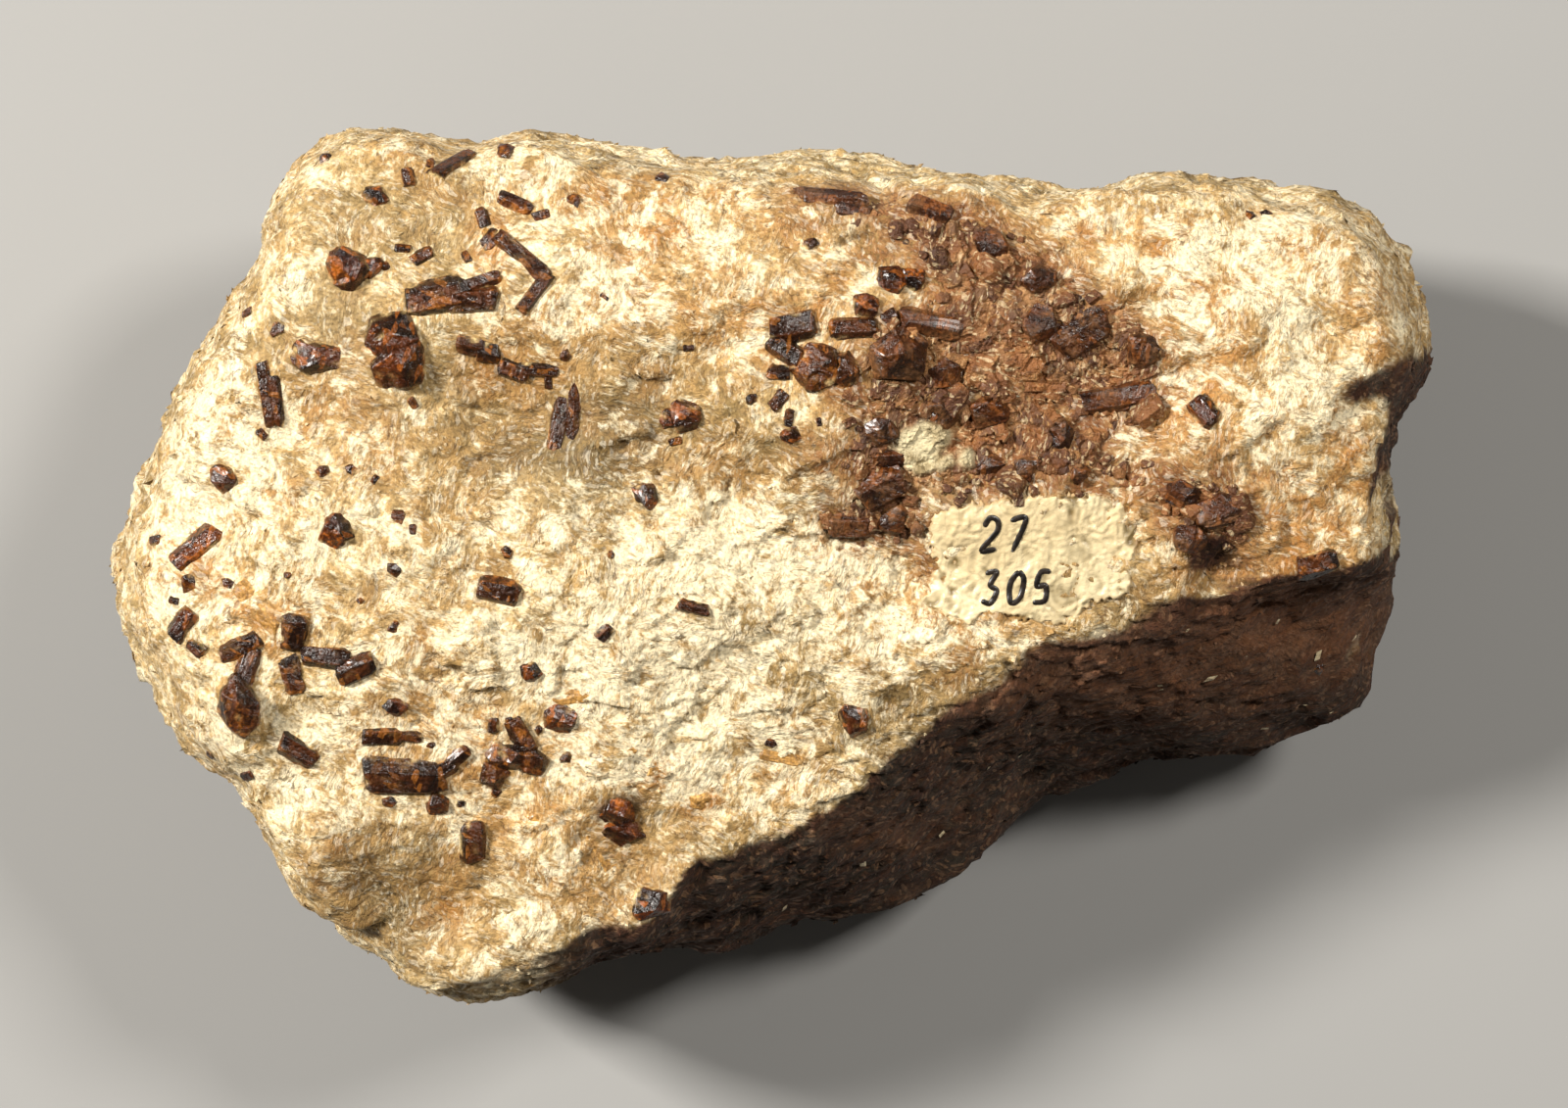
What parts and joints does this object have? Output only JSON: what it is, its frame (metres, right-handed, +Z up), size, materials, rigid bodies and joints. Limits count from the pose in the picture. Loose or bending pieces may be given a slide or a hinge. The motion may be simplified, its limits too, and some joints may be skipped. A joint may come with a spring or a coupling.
{
  "type": "sericite specimen",
  "caption": "Hand specimen of pale silky mica schist with brown crystals standing in its face, a rust-brown crystal mass and a painted label patch; rests on its flat underside.",
  "frame": {"origin": "on the flat underside that it rests on, below the middle of the stone", "axes": "+X along the stone's length to its narrow end, +Y across it away from the long dark slope, +Z up out of the face that carries the crystals"},
  "size_m": [0.1206, 0.0796, 0.0455],
  "materials": {
    "sericite": "silky cream mica schist with ochre stains and pearly flakes",
    "staurolite": "dark brown crystal with a resinous lustre and tan dust",
    "garnet": "dark red-brown crystal, resinous, worn edges",
    "rust": "rust-brown, granular, iron-stained crystal mass",
    "paint": "cracked cream lacquer, half gloss"
  },
  "bodies": {
    "root": {"sericite_matrix": "sericite", "rusty_crystal_mass": "rust", "painted_label": "paint", "staurolite_far_rim": "staurolite", "garnet_far_left": "garnet", "staurolite_by_rim": "staurolite", "staurolite_dark_blade": "staurolite", "garnet_three_cornered": "garnet", "staurolite_ridge_group": "staurolite", "garnet_largest": "garnet", "garnet_pointed": "garnet", "staurolite_upright_pair": "staurolite", "garnet_left": "garnet", "staurolite_broken_row": "staurolite", "staurolite_rusty_row": "staurolite", "staurolite_twin_blades": "staurolite", "staurolite_speckled_group": "staurolite", "garnet_pair": "garnet", "garnet_by_pair": "garnet", "staurolite_level_bar": "staurolite", "garnet_stalk_lower": "garnet", "garnet_centre": "garnet", "garnet_six_sided": "garnet", "garnet_dark": "garnet", "staurolite_short": "staurolite", "garnet_near_left": "garnet", "staurolite_left_chain": "staurolite", "garnet_left_patch": "garnet", "staurolite_red": "staurolite", "staurolite_grey_column": "staurolite", "staurolite_wedge": "staurolite", "garnet_small_right": "garnet", "garnet_granular": "garnet", "staurolite_winged": "staurolite", "garnet_on_stem": "garnet", "staurolite_tabular": "staurolite", "staurolite_largest": "staurolite", "garnet_round": "garnet", "staurolite_barrel": "staurolite", "staurolite_crumbled_group": "staurolite", "garnet_lower_pair": "garnet", "garnet_on_edge": "garnet", "garnet_by_shoulder": "garnet", "staurolite_needle": "staurolite", "garnet_right": "garnet", "staurolite_right_end": "staurolite"}
  },
  "joints": []
}
